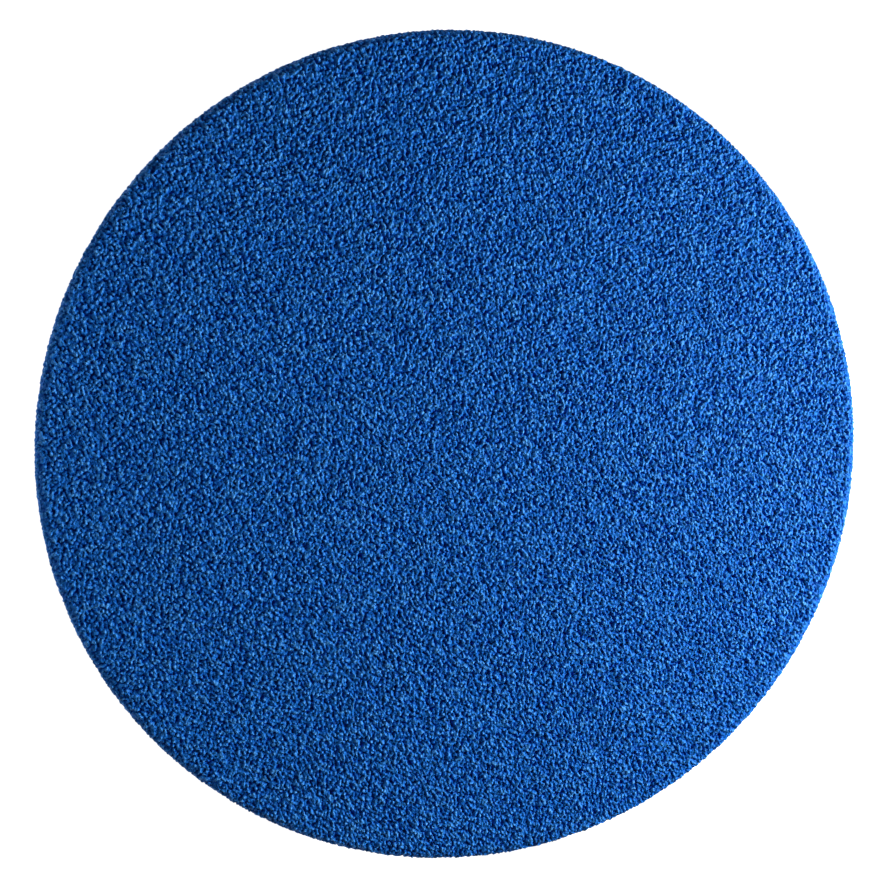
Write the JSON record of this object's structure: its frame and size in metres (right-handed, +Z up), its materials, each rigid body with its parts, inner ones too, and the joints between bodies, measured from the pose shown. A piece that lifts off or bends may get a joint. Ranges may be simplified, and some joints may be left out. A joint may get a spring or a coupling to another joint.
{
  "type": "air stone disc",
  "caption": "Round porous air stone on a moulded pan, fed from below by a swivelling barbed elbow and held by suction cups.",
  "frame": {"origin": "on the tank floor, under the disc's centre, in the plane of the suction cups' lips", "axes": "+Z up through the disc's centre, +X along the barbed arm at rest"},
  "size_m": [0.1, 0.1, 0.032],
  "materials": {
    "bonded_mineral": "coarse bonded grit, matt, dyed blue",
    "pan_plastic": "satin moulded black",
    "elbow_plastic": "satin moulded dark grey",
    "adhesive": "cured epoxy, dark grey",
    "cup_vinyl": "soft clear vinyl",
    "seal_rubber": "matt black",
    "washer_plastic": "natural acetal",
    "spring_steel": "stainless spring steel"
  },
  "bodies": {
    "disc": {"base_pan": "pan_plastic", "diffuser_stone": "bonded_mineral", "perimeter_bond": "adhesive", "pillar_bond_back_right": "adhesive", "pillar_bond_back_left": "adhesive", "pillar_bond_front_left": "adhesive", "pillar_bond_front_right": "adhesive", "pillar_bond_right": "adhesive", "pillar_bond_back": "adhesive", "pillar_bond_left": "adhesive", "pillar_bond_front": "adhesive", "suction_cup_back_right": "cup_vinyl", "suction_cup_back_left": "cup_vinyl", "suction_cup_front_left": "cup_vinyl", "suction_cup_front_right": "cup_vinyl"},
    "inlet": {"inlet_elbow": "elbow_plastic", "o_ring_lower": "seal_rubber", "o_ring_upper": "seal_rubber", "thrust_washer": "washer_plastic", "retaining_clip": "spring_steel"}
  },
  "joints": [
    {"name": "inlet_swivel", "type": "hinge", "parent": "disc", "child": "inlet", "pos_m": [0, 0, 0.009], "axis": [0, 0, 1], "continuous": true}
  ]
}
